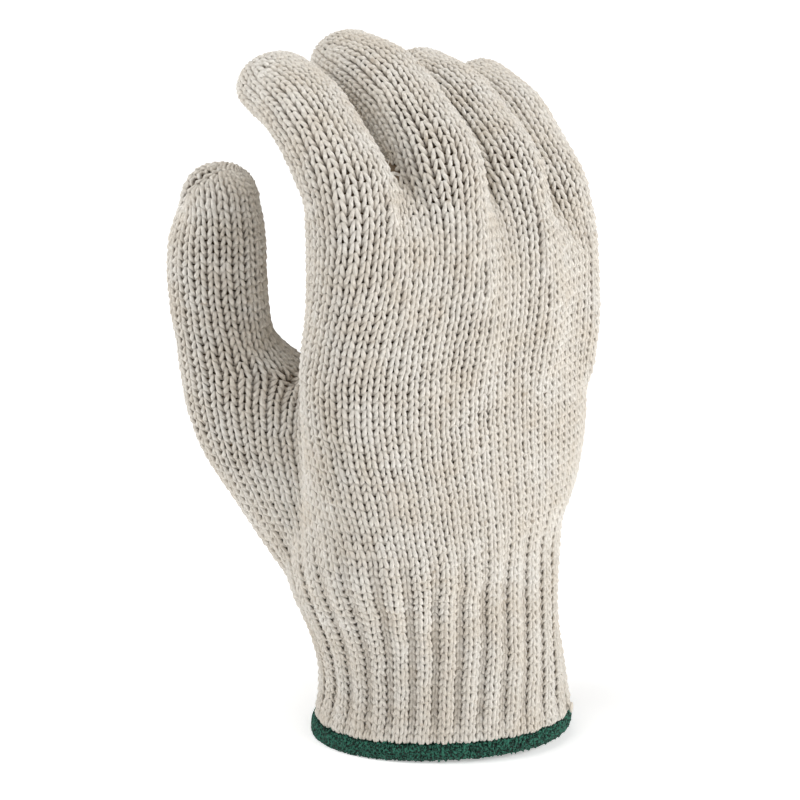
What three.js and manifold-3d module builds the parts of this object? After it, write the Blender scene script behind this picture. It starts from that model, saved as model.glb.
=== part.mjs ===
// Seamless knitted cotton work glove for the right hand, shown filled as it is worn.
// Millimetres. +Z runs from the cuff's opening to the fingertips, -Y faces the back of the hand,
// +Y faces the palm, and -X is the thumb's side. The origin is the middle of the cuff's opening.
import * as THREE from 'three';
import { mergeVertices } from 'three/addons/utils/BufferGeometryUtils.js';
import Module from 'manifold-3d';

// Driving dimensions
const KNIT_WALL = 2.2;
const PIECE_GAP = 0.3;
const HEM_HEIGHT = 5.6;
const HEM_THICKNESS = 3.6;
const CUFF_HEIGHT = 60;
const CUFF_BREADTH = 82;
const CUFF_DEPTH = 63;
const RIB_COUNT = 32;
const RIB_RELIEF = 1.1;
const RIBS_FADE_FROM = 0.75;
const HAND_HEIGHT = 94;
const HAND_BREADTH = 98;
const HAND_DEPTH = 46;
const FINGER_BREADTH = 26;
const FINGER_LENGTH = 106;
const FINGER_GAP = 0.6;
const THUMB_BREADTH = 27.4;
const THUMB_REACH = 64;
const THUMB_LENGTH = 49;

// Places up the hand, as shares of its height: its parts' edges, the knuckles and the thumb's root.
// Then the knuckles' middle, as shares of the hand's breadth and depth, and where a finger starts
// below its knuckle, as a share of its length.
const HEEL_UP = 0.34;
const KNUCKLES_UP = 0.71;
const THUMB_ROOT_UP = 0.66;
const FINGER_ROOTS_UP = 0.86;
const KNUCKLES_ACROSS = 0.029;
const KNUCKLES_TO_PALM = -0.067;
const FINGER_START = 0.15;

// Roundness of the ovals: 2 is an ellipse, and more is squarer
const HAND_ROUNDNESS = 2.2;
const STALL_ROUNDNESS = 2.1;

// Fineness of the lofts
const HAND_SIDES = 30;
const HAND_STEPS = 8;
const CUFF_STEPS = 4;
const STALL_SIDES = 14;
const STALL_STEPS = 9;
const TIP_STEPS = 4;
const TIP_TURN = 84;
const TIP_FULLNESS = 0.8;
const THUMB_RING_STEP = 10;
const SIDES_PER_RIB = 3;
const LINE_STEPS = 120;

// How far a cutting shape runs past what it cuts, in millimetres and as a share of a finger
const OVERRUN = 6;
const FINGER_OVERRUN = 0.05;
const HALF_SPACE = 400;

const DEGREE = Math.PI / 180;
const KNUCKLE_Z = CUFF_HEIGHT + HAND_HEIGHT * KNUCKLES_UP;
const THUMB_ROOT_Z = CUFF_HEIGHT + HAND_HEIGHT * THUMB_ROOT_UP;

// The cuff and hand, ring by ring. Columns: height as a share of the cuff or of the hand above it,
// breadth and depth as shares of the cuff or the hand, the centre's way across as a share of the
// breadth and towards the palm as a share of the depth, the fall away from the thumb, and the turn
// of the oval in degrees.
const cuffRings = [
  { up: 0.00, breadth: 0.940, depth: 0.80, across: 0.000, toPalm: 0.000, fall: -0.040, turn: -40 },
  { up: 0.12, breadth: 0.910, depth: 0.79, across: 0.006, toPalm: -0.007, fall: -0.030, turn: -40 },
  { up: 0.23, breadth: 0.880, depth: 0.79, across: 0.005, toPalm: -0.006, fall: -0.015, turn: -40 },
  { up: 0.35, breadth: 0.870, depth: 0.81, across: 0.000, toPalm: 0.000, fall: 0.000, turn: -39 },
  { up: 0.56, breadth: 0.885, depth: 0.87, across: -0.022, toPalm: 0.025, fall: 0.000, turn: -34 },
  { up: 0.79, breadth: 0.960, depth: 0.94, across: -0.043, toPalm: 0.052, fall: 0.000, turn: -18 },
  { up: 1.00, breadth: 1.035, depth: 0.98, across: -0.037, toPalm: 0.050, fall: 0.000, turn: 0 },
];
const handRings = [
  { up: 0.14, breadth: 0.92, depth: 1.21, across: -0.002, toPalm: 0.010, fall: 0.00, turn: 0 },
  { up: 0.30, breadth: 0.965, depth: 1.09, across: 0.013, toPalm: -0.015, fall: 0.00, turn: 0 },
  { up: 0.47, breadth: 0.98, depth: 1.04, across: 0.007, toPalm: -0.020, fall: 0.02, turn: 0 },
  { up: 0.63, breadth: 0.976, depth: 1.00, across: 0.000, toPalm: -0.022, fall: 0.05, turn: 0 },
  { up: 0.80, breadth: 0.962, depth: 0.90, across: 0.013, toPalm: -0.050, fall: 0.11, turn: 0 },
  { up: 0.94, breadth: 0.954, depth: 0.74, across: 0.030, toPalm: -0.080, fall: 0.19, turn: 0 },
  { up: 1.03, breadth: 0.93, depth: 0.55, across: 0.036, toPalm: -0.075, fall: 0.26, turn: 0 },
  { up: 1.09, breadth: 0.86, depth: 0.26, across: 0.036, toPalm: -0.060, fall: 0.28, turn: 0 },
];

// The finger stalls, thumb side first. Columns: breadth and length as shares of the index's, the
// knuckle's height above the index's and its way towards the palm as shares of the finger's length,
// the lean across in degrees, the bend at each of the three joints in degrees, how flat its pad is
// where 1 is the girths' pad and 0 none, and the share of the length that the hand's knitting takes
// before the stall begins.
const fingers = [
  { name: 'index', breadth: 1.00, length: 0.865, knuckle: 0.000, toPalm: -0.003, lean: -1,
    bends: [6, 39, 24], flat: 1, root: 0.42 },
  { name: 'middle', breadth: 0.95, length: 0.96, knuckle: 0.010, toPalm: -0.103, lean: 0.3,
    bends: [13, 39, 30], flat: 0.15, root: 0.40 },
  { name: 'ring', breadth: 0.90, length: 0.89, knuckle: -0.020, toPalm: -0.106, lean: 0,
    bends: [15, 38, 26], flat: 0.15, root: 0.40 },
  { name: 'little', breadth: 0.78, length: 0.86, knuckle: -0.110, toPalm: -0.045, lean: 0.5,
    bends: [11, 33, 26], flat: 0.15, root: 0.40 },
];
// Where a finger bends, as shares of its length. Then its breadth, its depth to the back and its
// depth to a flat pad on the way, as shares of its breadth.
const jointPlaces = [0.06, 0.46, 0.74];
const JOINT_SPREAD = 0.13;
const fingerGirths = [
  { along: -0.15, breadth: 0.66, depth: 0.70, pad: 0.70 },
  { along: 0.00, breadth: 0.84, depth: 0.90, pad: 0.90 },
  { along: 0.20, breadth: 0.98, depth: 1.00, pad: 1.00 },
  { along: 0.40, breadth: 1.00, depth: 1.00, pad: 0.88 },
  { along: 0.52, breadth: 0.99, depth: 0.97, pad: 0.66 },
  { along: 0.62, breadth: 0.97, depth: 0.93, pad: 0.53 },
  { along: 0.76, breadth: 0.95, depth: 0.89, pad: 0.45 },
  { along: 0.88, breadth: 0.92, depth: 0.84, pad: 0.46 },
  { along: 1.00, breadth: 0.86, depth: 0.76, pad: 0.52 },
];

// The thumb stands out from the hand in one direction of the plan. Columns: height as a share of
// the hand below the stall or of the stall, the inner and outer edges as shares of the reach, and the
// thickness as a share of the thumb's breadth.
const THUMB_DIRECTION = 138 * DEGREE;
const thumbBaseRings = [
  { up: -0.30, inner: -0.10, outer: 0.59, thick: 1.30 },
  { up: -0.12, inner: -0.05, outer: 0.73, thick: 1.45 },
  { up: 0.08, inner: 0.02, outer: 0.86, thick: 1.52 },
  { up: 0.26, inner: 0.10, outer: 0.97, thick: 1.50 },
  { up: 0.43, inner: 0.20, outer: 1.07, thick: 1.42 },
  { up: 0.62, inner: 0.33, outer: 1.135, thick: 1.30 },
  { up: 0.82, inner: 0.46, outer: 1.165, thick: 1.16 },
  { up: 0.93, inner: 0.66, outer: 1.175, thick: 1.06 },
  { up: 1.00, inner: 0.755, outer: 1.185, thick: 1.00 },
];
const thumbStallRings = [
  { up: 0.12, inner: 0.77, outer: 1.20, thick: 0.97 },
  { up: 0.36, inner: 0.78, outer: 1.212, thick: 0.96 },
  { up: 0.54, inner: 0.782, outer: 1.205, thick: 0.96 },
  { up: 0.66, inner: 0.79, outer: 1.182, thick: 0.93 },
  { up: 0.76, inner: 0.805, outer: 1.15, thick: 0.88 },
];

// Smooth value of one column of a table of rows at a place along another column.
function tableAt(rows, along, column, place) {
  const last = rows.length - 1;
  let i = 0;
  while (i < last - 1 && rows[i + 1][along] < place) i += 1;
  const before = rows[Math.max(i - 1, 0)];
  const [from, to] = [rows[i], rows[i + 1]];
  const after = rows[Math.min(i + 2, last)];
  const span = to[along] - from[along];
  const t = THREE.MathUtils.clamp((place - from[along]) / span, 0, 1);
  const slope = (p, q) => (q[column] - p[column]) / (q[along] - p[along]) * span;
  const [m0, m1] = [slope(before, to), slope(from, after)];
  const [p0, p1] = [from[column], to[column]];
  return p0 + t * (m0 + t * (3 * (p1 - p0) - 2 * m0 - m1 + t * (2 * (p0 - p1) + m0 + m1)));
}

// A ring is a list of points round an oval, anticlockwise seen from the side that it moves towards.
// The two half depths are those against and along the deep way.
function oval(centre, ways, halfBreadth, halfDepths, sides, roundness, start = 0) {
  const points = [];
  for (let i = 0; i < sides; i += 1) {
    const turn = (i / sides) * 2 * Math.PI + start;
    const [c, s] = [Math.cos(turn), Math.sin(turn)];
    const across = Math.sign(c) * Math.abs(c) ** (2 / roundness) * halfBreadth;
    const deep = Math.sign(s) * Math.abs(s) ** (2 / roundness) * halfDepths[s > 0 ? 1 : 0];
    points.push(centre.clone().addScaledVector(ways[0], across).addScaledVector(ways[1], deep));
  }
  return points;
}

// A closed body through a list of rings, its ends closed by fans
function loft(rings) {
  const sides = rings[0].length;
  const positions = rings.flat().flatMap((point) => point.toArray());
  const faces = [];
  for (let ring = 0; ring < rings.length - 1; ring += 1) {
    for (let i = 0; i < sides; i += 1) {
      const [a, b] = [ring * sides + i, ring * sides + (i + 1) % sides];
      faces.push(a, b, b + sides, a, b + sides, a + sides);
    }
  }
  for (const [ring, turn] of [[0, -1], [rings.length - 1, 1]]) {
    const middle = positions.length / 3;
    const centre = rings[ring].reduce((sum, p) => sum.add(p), new THREE.Vector3());
    positions.push(...centre.divideScalar(sides).toArray());
    for (let i = 0; i < sides; i += 1) {
      const [a, b] = [ring * sides + i, ring * sides + (i + 1) % sides];
      faces.push(middle, ...(turn > 0 ? [a, b] : [b, a]));
    }
  }
  const geometry = new THREE.BufferGeometry();
  geometry.setAttribute('position', new THREE.Float32BufferAttribute(positions, 3));
  geometry.setIndex(faces);
  return geometry;
}

// Boolean cuts and joins
const wasm = await Module();
wasm.setup();

function solid(geometry) {
  const bare = geometry.clone();
  bare.deleteAttribute('normal');
  bare.deleteAttribute('uv');
  const merged = mergeVertices(bare, 1e-4);
  const vertProperties = new Float32Array(merged.attributes.position.array);
  const triVerts = new Uint32Array(merged.index.array);
  return new wasm.Manifold(new wasm.Mesh({ numProp: 3, vertProperties, triVerts }));
}

function mesh(body, name, color, roughness) {
  const data = body.getMesh();
  const geometry = new THREE.BufferGeometry();
  geometry.setAttribute('position', new THREE.BufferAttribute(data.vertProperties, 3));
  geometry.setIndex(new THREE.BufferAttribute(data.triVerts, 1));
  geometry.computeVertexNormals();
  const material = new THREE.MeshStandardMaterial({ color, roughness, metalness: 0 });
  const result = new THREE.Mesh(geometry, material);
  result.name = name;
  return result;
}

const joined = (bodies) => bodies.reduce((sum, body) => sum.add(body));

// A block across the whole glove between two heights, on one side of a parting or on both
function levelBlock(from, to, left = -HALF_SPACE, right = HALF_SPACE) {
  const block = new THREE.BoxGeometry(right - left, 2 * HALF_SPACE, to - from);
  block.translate((left + right) / 2, 0, (from + to) / 2);
  return solid(block);
}

const X = new THREE.Vector3(1, 0, 0);
const Y = new THREE.Vector3(0, 1, 0);
const Z = new THREE.Vector3(0, 0, 1);
const thumbOut = new THREE.Vector3(Math.cos(THUMB_DIRECTION), Math.sin(THUMB_DIRECTION), 0);
const thumbSide = new THREE.Vector3().crossVectors(Z, thumbOut);

// The cuff and hand: level rings, the hand's tilted down towards the little finger
const trunkRows = [
  ...cuffRings.map((row) => ({
    z: row.up * CUFF_HEIGHT,
    breadth: row.breadth * CUFF_BREADTH,
    depth: row.depth * CUFF_DEPTH,
    x: row.across * CUFF_BREADTH,
    y: row.toPalm * CUFF_DEPTH,
    fall: row.fall,
    turn: row.turn,
  })),
  ...handRings.map((row) => ({
    z: CUFF_HEIGHT + row.up * HAND_HEIGHT,
    breadth: row.breadth * HAND_BREADTH,
    depth: row.depth * HAND_DEPTH,
    x: row.across * HAND_BREADTH,
    y: row.toPalm * HAND_DEPTH,
    fall: row.fall,
    turn: row.turn,
  })),
];
const trunkAt = (z) => {
  const at = (column) => tableAt(trunkRows, 'z', column, z);
  const columns = ['breadth', 'depth', 'x', 'y', 'fall', 'turn'];
  return Object.fromEntries(columns.map((column) => [column, at(column)]));
};

function trunkRing(z, inset, sides) {
  const row = trunkAt(z);
  const centre = new THREE.Vector3(row.x, row.y, z);
  const [halfBreadth, halfDepth] = [row.breadth / 2 - inset, row.depth / 2 - inset];
  const turn = row.turn * DEGREE;
  const ways = [X, Y].map((way) => way.clone().applyAxisAngle(Z, turn));
  const depths = [halfDepth, halfDepth];
  const ring = oval(centre, ways, halfBreadth, depths, sides, HAND_ROUNDNESS, -turn);
  const fall = (point) => point.clone().sub(centre).dot(thumbOut) * row.fall;
  ring.forEach((point) => { point.z += fall(point); });
  return ring;
}

function trunk(from, to, steps, inset, sides) {
  const rings = [];
  for (let i = 0; i <= steps; i += 1) {
    rings.push(trunkRing(THREE.MathUtils.lerp(from, to, i / steps), inset, sides));
  }
  return loft(rings);
}

// The finger stalls: rings along a line that bends at the joints
function fingerShape(row, index) {
  const breadths = fingers.map((f) => f.breadth * FINGER_BREADTH);
  const total = breadths.reduce((sum, b) => sum + b) + FINGER_GAP * (fingers.length - 1);
  const before = breadths.slice(0, index).reduce((sum, b) => sum + b + FINGER_GAP, 0);
  const length = row.length * FINGER_LENGTH;
  return {
    ...row,
    length,
    breadth: breadths[index],
    knuckle: new THREE.Vector3(
      KNUCKLES_ACROSS * HAND_BREADTH - total / 2 + before + breadths[index] / 2,
      KNUCKLES_TO_PALM * HAND_DEPTH + row.toPalm * FINGER_LENGTH,
      KNUCKLE_Z + row.knuckle * FINGER_LENGTH,
    ),
  };
}

function fingerLine(finger, steps) {
  const places = [];
  const spot = finger.knuckle.clone();
  const lean = finger.lean * DEGREE;
  spot.z -= FINGER_START * finger.length;
  for (let i = -Math.round(FINGER_START * steps); i <= steps; i += 1) {
    const share = i / steps;
    const bend = DEGREE * finger.bends.reduce((sum, angle, joint) => {
      const t = (share - jointPlaces[joint]) / JOINT_SPREAD + 0.5;
      return sum + angle * THREE.MathUtils.smoothstep(t, 0, 1);
    }, 0);
    const way = new THREE.Vector3(Math.sin(lean) * Math.cos(bend), Math.sin(bend),
      Math.cos(lean) * Math.cos(bend));
    const acrossWay = new THREE.Vector3(Math.cos(lean), 0, -Math.sin(lean));
    const deepWay = new THREE.Vector3().crossVectors(way, acrossWay);
    places.push({ share, spot: spot.clone(), acrossWay, deepWay });
    spot.addScaledVector(way, finger.length / steps);
  }
  return places;
}

// One stretch of a finger, from and to as shares of its length, its skin moved in by the inset.
function fingerLoft(finger, from, to, inset) {
  const line = fingerLine(finger, LINE_STEPS);
  const reach = 1 - inset / finger.length;
  const girth = (share, column) => (
    tableAt(fingerGirths, 'along', column, share) * finger.breadth / 2 - inset);
  const padDepth = (share) => (
    THREE.MathUtils.lerp(girth(share, 'depth'), girth(share, 'pad'), finger.flat));
  const rings = [];
  const addRing = (share, scale) => {
    const place = line[Math.round((share + FINGER_START) * LINE_STEPS)];
    const halfDepths = [girth(share, 'depth') * scale, padDepth(share) * scale];
    rings.push(oval(place.spot, [place.acrossWay, place.deepWay],
      girth(share, 'breadth') * scale, halfDepths, STALL_SIDES, STALL_ROUNDNESS));
  };
  const tipStart = reach - girth(1, 'depth') / finger.length;
  const straightEnd = Math.min(to, tipStart);
  const steps = Math.ceil(STALL_STEPS * (straightEnd - from) + 1);
  for (let i = 0; i <= steps; i += 1) {
    addRing(THREE.MathUtils.lerp(from, straightEnd, i / steps), 1);
  }
  if (to > tipStart) {
    for (let i = 1; i <= TIP_STEPS; i += 1) {
      const turn = (i / TIP_STEPS) * TIP_TURN * DEGREE;
      addRing(tipStart + (reach - tipStart) * Math.sin(turn), Math.cos(turn) ** TIP_FULLNESS);
    }
  }
  return loft(rings);
}

// The thumb: level ovals between an inner and an outer edge, with a domed tip
const thumbRows = [
  ...thumbBaseRings.map((row) => ({
    ...row, z: CUFF_HEIGHT + row.up * (THUMB_ROOT_Z - CUFF_HEIGHT) })),
  ...thumbStallRings.map((row) => ({ ...row, z: THUMB_ROOT_Z + row.up * THUMB_LENGTH })),
];

function thumbLoft(from, to, inset) {
  const rings = [];
  const addRing = (z, tableZ, scale) => {
    const inner = tableAt(thumbRows, 'z', 'inner', tableZ) * THUMB_REACH;
    const outer = tableAt(thumbRows, 'z', 'outer', tableZ) * THUMB_REACH;
    const thick = tableAt(thumbRows, 'z', 'thick', tableZ) * THUMB_BREADTH;
    const centre = thumbOut.clone().multiplyScalar((inner + outer) / 2).setZ(z);
    const halfDepth = (thick / 2 - inset) * scale;
    rings.push(oval(centre, [thumbOut, thumbSide], ((outer - inner) / 2 - inset) * scale,
      [halfDepth, halfDepth], STALL_SIDES, STALL_ROUNDNESS));
  };
  const domeStart = thumbRows.at(-1).z;
  const domeEnd = THUMB_ROOT_Z + THUMB_LENGTH - inset;
  const end = Math.min(to, domeStart);
  const steps = Math.ceil((end - from) / THUMB_RING_STEP);
  for (let i = 0; i <= steps; i += 1) {
    const z = THREE.MathUtils.lerp(from, end, i / steps);
    addRing(z, z, 1);
  }
  if (to > domeStart) {
    for (let i = 1; i <= TIP_STEPS; i += 1) {
      const turn = (i / TIP_STEPS) * TIP_TURN * DEGREE;
      const z = domeStart + (domeEnd - domeStart) * Math.sin(turn);
      addRing(z, domeStart, Math.cos(turn) ** TIP_FULLNESS);
    }
  }
  return loft(rings);
}

const cotton = 0xe3dccd;
const threadGreen = 0x1f5c49;
const COTTON_ROUGHNESS = 0.95;
const THREAD_ROUGHNESS = 0.85;
const glove = new THREE.Group();

// Finger stalls
const shapes = fingers.map(fingerShape);
for (const finger of shapes) {
  const outside = solid(fingerLoft(finger, finger.root, 1, 0));
  const inside = solid(fingerLoft(finger, finger.root - FINGER_OVERRUN, 1, KNIT_WALL));
  glove.add(mesh(outside.subtract(inside), `${finger.name}_stall`, cotton, COTTON_ROUGHNESS));
}

// Thumb stall
const thumbOutside = solid(thumbLoft(THUMB_ROOT_Z, Infinity, 0));
const thumbInside = solid(thumbLoft(THUMB_ROOT_Z - OVERRUN, Infinity, KNIT_WALL));
glove.add(mesh(thumbOutside.subtract(thumbInside), 'thumb_stall', cotton, COTTON_ROUGHNESS));

// Hand: palm and back with the roots of the thumb and fingers, in parts one above the other
const handTop = CUFF_HEIGHT + HAND_HEIGHT * handRings.at(-1).up;
const handBottom = CUFF_HEIGHT + PIECE_GAP;
const thumbBottom = thumbRows[0].z;
const fingerRoots = shapes.map((f) => (
  solid(fingerLoft(f, -FINGER_START, f.root - PIECE_GAP / f.length, 0))));
const fingerWays = shapes.map((f) => (
  solid(fingerLoft(f, KNIT_WALL / f.length - FINGER_START, f.root + FINGER_OVERRUN, KNIT_WALL))));
const handOutside = joined([
  solid(trunk(handBottom - OVERRUN, handTop, HAND_STEPS, 0, HAND_SIDES)),
  solid(thumbLoft(thumbBottom, THUMB_ROOT_Z - PIECE_GAP, 0)),
  ...fingerRoots,
]);
const handInside = joined([
  solid(trunk(handBottom - 2 * OVERRUN, handTop - KNIT_WALL, HAND_STEPS, KNIT_WALL, HAND_SIDES)),
  solid(thumbLoft(thumbBottom + KNIT_WALL, THUMB_ROOT_Z + OVERRUN, KNIT_WALL)),
  ...fingerWays,
]);
const stallRoom = shapes.map((f) => (
  solid(fingerLoft(f, f.root - PIECE_GAP / f.length, 1, -PIECE_GAP))));
const hand = handOutside.subtract(handInside).subtract(joined(stallRoom));
const heelTop = CUFF_HEIGHT + HAND_HEIGHT * HEEL_UP;
const rootsBottom = CUFF_HEIGHT + HAND_HEIGHT * FINGER_ROOTS_UP;
const parting = (shapes[1].knuckle.x + shapes[2].knuckle.x) / 2;
const [handLeft, handRight] = [parting - PIECE_GAP / 2, parting + PIECE_GAP / 2];
const handParts = {
  palm_heel: levelBlock(handBottom, heelTop),
  palm_middle: levelBlock(heelTop + PIECE_GAP, THUMB_ROOT_Z),
  knuckle_band: levelBlock(THUMB_ROOT_Z + PIECE_GAP, rootsBottom),
  index_middle_roots: levelBlock(rootsBottom + PIECE_GAP, HALF_SPACE, -HALF_SPACE, handLeft),
  ring_little_roots: levelBlock(rootsBottom + PIECE_GAP, HALF_SPACE, handRight),
};
for (const [name, room] of Object.entries(handParts)) {
  glove.add(mesh(hand.intersect(room), name, cotton, COTTON_ROUGHNESS));
}

// Ribbed cuff
const cuffSides = RIB_COUNT * SIDES_PER_RIB;
const cuffBottom = HEM_HEIGHT + PIECE_GAP;
function ribbedRings(from, to) {
  const rings = [];
  for (let i = 0; i <= CUFF_STEPS; i += 1) {
    const z = THREE.MathUtils.lerp(from, to, i / CUFF_STEPS);
    const fade = 1 - THREE.MathUtils.smoothstep(z, RIBS_FADE_FROM * CUFF_HEIGHT, CUFF_HEIGHT);
    const plain = trunkRing(z, 0, cuffSides);
    const groove = trunkRing(z, RIB_RELIEF * fade, cuffSides);
    rings.push(plain.map((point, side) => (side % SIDES_PER_RIB === 0 ? groove[side] : point)));
  }
  return rings;
}
const cuffOutside = joined([
  solid(loft(ribbedRings(cuffBottom, CUFF_HEIGHT))),
  solid(thumbLoft(thumbBottom, CUFF_HEIGHT + OVERRUN, 0)),
]);
const cuffInside = joined([
  solid(trunk(cuffBottom - OVERRUN, CUFF_HEIGHT + OVERRUN, CUFF_STEPS, KNIT_WALL, HAND_SIDES)),
  solid(thumbLoft(thumbBottom + KNIT_WALL, CUFF_HEIGHT + 2 * OVERRUN, KNIT_WALL)),
]);
const belowHand = levelBlock(CUFF_HEIGHT - HALF_SPACE, CUFF_HEIGHT);
const cuff = cuffOutside.subtract(cuffInside).intersect(belowHand);
glove.add(mesh(cuff, 'rib_cuff', cotton, COTTON_ROUGHNESS));

// Overlocked hem: a rounded binding round the opening. Columns: height and how far the edge is
// rounded off, as shares of the hem's height and thickness.
const hemRings = [
  { up: 0.00, rounded: 0.20 },
  { up: 0.12, rounded: 0.08 },
  { up: 0.35, rounded: 0.00 },
  { up: 0.65, rounded: 0.00 },
  { up: 0.88, rounded: 0.08 },
  { up: 1.00, rounded: 0.20 },
];
const hemProud = (HEM_THICKNESS - KNIT_WALL) / 2;
const hemOutside = loft(hemRings.map((row) => (
  trunkRing(row.up * HEM_HEIGHT, row.rounded * HEM_THICKNESS - hemProud, HAND_SIDES))));
const hemInside = trunk(-OVERRUN, HEM_HEIGHT + OVERRUN, 2, KNIT_WALL + hemProud, HAND_SIDES);
const hem = solid(hemOutside).subtract(solid(hemInside));
glove.add(mesh(hem, 'overlock_hem', threadGreen, THREAD_ROUGHNESS));

export default glove;
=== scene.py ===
"""Knitted cotton work glove, filled as worn: yarn, ribbed cuff and overlocked hem.

The glove is knitted from the tips of its fingers to its cuff. Its surface is worked out from the
same tables as the CAD part, the stitches are spread evenly over it, and one yarn then runs round
every course.
"""

import math

import bmesh
import bpy
import numpy as np
from bpy.props import FloatProperty, FloatVectorProperty, IntProperty, PointerProperty
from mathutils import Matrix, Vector


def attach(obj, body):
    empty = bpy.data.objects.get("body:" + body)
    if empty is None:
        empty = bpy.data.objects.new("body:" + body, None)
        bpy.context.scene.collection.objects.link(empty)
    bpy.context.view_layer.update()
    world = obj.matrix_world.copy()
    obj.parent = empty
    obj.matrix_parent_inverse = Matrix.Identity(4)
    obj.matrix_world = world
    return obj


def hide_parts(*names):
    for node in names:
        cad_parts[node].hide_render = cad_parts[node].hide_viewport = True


bl_info = {
    "name": "Knitted Glove",
    "version": (1, 0, 0),
    "blender": (4, 5, 0),
    "location": "View3D > Sidebar > Glove",
    "description": "Knits a cotton work glove over its CAD frame",
    "category": "Object",
}

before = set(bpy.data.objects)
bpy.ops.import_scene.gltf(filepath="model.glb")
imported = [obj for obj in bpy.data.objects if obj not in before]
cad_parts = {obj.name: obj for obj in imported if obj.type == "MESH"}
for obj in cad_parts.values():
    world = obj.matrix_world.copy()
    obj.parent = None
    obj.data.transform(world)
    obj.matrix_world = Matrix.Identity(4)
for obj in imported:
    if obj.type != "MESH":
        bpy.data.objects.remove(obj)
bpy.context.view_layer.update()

MM = 0.001
DEGREE = math.pi / 180

# Shape of the glove, in millimetres and shares of them, as in the CAD part
CUFF_HEIGHT, CUFF_BREADTH, CUFF_DEPTH = 60.0, 82.0, 63.0
HAND_HEIGHT, HAND_BREADTH, HAND_DEPTH = 94.0, 98.0, 46.0
FINGER_BREADTH, FINGER_LENGTH, FINGER_GAP = 26.0, 106.0, 0.6
THUMB_BREADTH, THUMB_REACH, THUMB_LENGTH = 27.4, 64.0, 49.0
HEM_HEIGHT, HEM_THICKNESS, KNIT_WALL = 5.6, 3.6, 2.2
KNUCKLE_Z = CUFF_HEIGHT + HAND_HEIGHT * 0.71
THUMB_ROOT_Z = CUFF_HEIGHT + HAND_HEIGHT * 0.66
HAND_ROUNDNESS, STALL_ROUNDNESS = 2.2, 2.1
FINGER_START = 0.15
KNUCKLES_ACROSS, KNUCKLES_TO_PALM = 0.029 * HAND_BREADTH, -0.067 * HAND_DEPTH
THUMB_TURN = 138 * DEGREE
THUMB_OUT = np.array([math.cos(THUMB_TURN), math.sin(THUMB_TURN), 0.0])
THUMB_SIDE = np.array([-math.sin(THUMB_TURN), math.cos(THUMB_TURN), 0.0])

# Cuff and hand rings: height, breadth, depth, way across, way to the palm, fall away from the
# thumb, turn
CUFF_RINGS = np.array([
    (0.00, 0.940, 0.80, 0.000, 0.000, -0.040, -40),
    (0.12, 0.910, 0.79, 0.006, -0.007, -0.030, -40),
    (0.23, 0.880, 0.79, 0.005, -0.006, -0.015, -40),
    (0.35, 0.870, 0.81, 0.000, 0.000, 0.000, -39),
    (0.56, 0.885, 0.87, -0.022, 0.025, 0.000, -34),
    (0.79, 0.960, 0.94, -0.043, 0.052, 0.000, -18),
    (1.00, 1.035, 0.98, -0.037, 0.050, 0.000, 0),
])
HAND_RINGS = np.array([
    (0.14, 0.920, 1.21, -0.002, 0.010, 0.00, 0),
    (0.30, 0.965, 1.09, 0.013, -0.015, 0.00, 0),
    (0.47, 0.980, 1.04, 0.007, -0.020, 0.02, 0),
    (0.63, 0.976, 1.00, 0.000, -0.022, 0.05, 0),
    (0.80, 0.962, 0.90, 0.013, -0.050, 0.11, 0),
    (0.94, 0.954, 0.74, 0.030, -0.080, 0.19, 0),
    (1.03, 0.930, 0.55, 0.036, -0.075, 0.26, 0),
    (1.09, 0.860, 0.26, 0.036, -0.060, 0.28, 0),
])
# Fingers: name, breadth, length, knuckle's height, its way to the palm, lean, three bends and how
# flat the pad is
FINGERS = [
    ("index", 1.00, 0.865, 0.000, -0.003, -1, (6, 39, 24), 1.0),
    ("middle", 0.95, 0.96, 0.010, -0.103, 0.3, (13, 39, 30), 0.15),
    ("ring", 0.90, 0.89, -0.020, -0.106, 0, (15, 38, 26), 0.15),
    ("little", 0.78, 0.86, -0.110, -0.045, 0.5, (11, 33, 26), 0.15),
]
JOINT_PLACES = (0.06, 0.46, 0.74)
JOINT_SPREAD = 0.13
# Place along a finger, breadth there, depth to the back and depth to a flat pad
FINGER_GIRTHS = np.array([
    (-0.15, 0.66, 0.70, 0.70), (0.00, 0.84, 0.90, 0.90), (0.20, 0.98, 1.00, 1.00),
    (0.40, 1.00, 1.00, 0.88), (0.52, 0.99, 0.97, 0.66), (0.62, 0.97, 0.93, 0.53),
    (0.76, 0.95, 0.89, 0.45), (0.88, 0.92, 0.84, 0.46), (1.00, 0.86, 0.76, 0.52),
])
# Thumb rings: height, inner edge, outer edge, thickness. The inner edges of the base's last four
# rings differ from the CAD's, to follow the photo at the crotch.
THUMB_BASE_RINGS = np.array([
    (-0.30, -0.10, 0.59, 1.30), (-0.12, -0.05, 0.73, 1.45), (0.08, 0.02, 0.86, 1.52),
    (0.26, 0.10, 0.97, 1.50), (0.43, 0.20, 1.07, 1.42), (0.62, 0.36, 1.135, 1.30),
    (0.82, 0.57, 1.165, 1.16), (0.93, 0.705, 1.175, 1.06), (1.00, 0.752, 1.185, 1.00),
])
THUMB_STALL_RINGS = np.array([
    (0.12, 0.77, 1.20, 0.97), (0.36, 0.78, 1.212, 0.96), (0.54, 0.782, 1.205, 0.96),
    (0.66, 0.79, 1.182, 0.93), (0.76, 0.805, 1.15, 0.88),
])

# Wales, the columns of stitches: on each side of a finger, next to the next finger, and next to
# the last one. Then those of the thumb, those before it, those in its web and those of a rib.
WALES = {"index": (10, 2, 0), "middle": (10, 1, 1), "ring": (9, 1, 1), "little": (9, 0, 1)}
THUMB_WALES = 18
WALES_BEFORE_THUMB = 30
WEB_WALES = 4
RIB_WALES = 3
# Height of a course in the cuff against one in the hand
RIB_COURSE = 1.2
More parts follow.
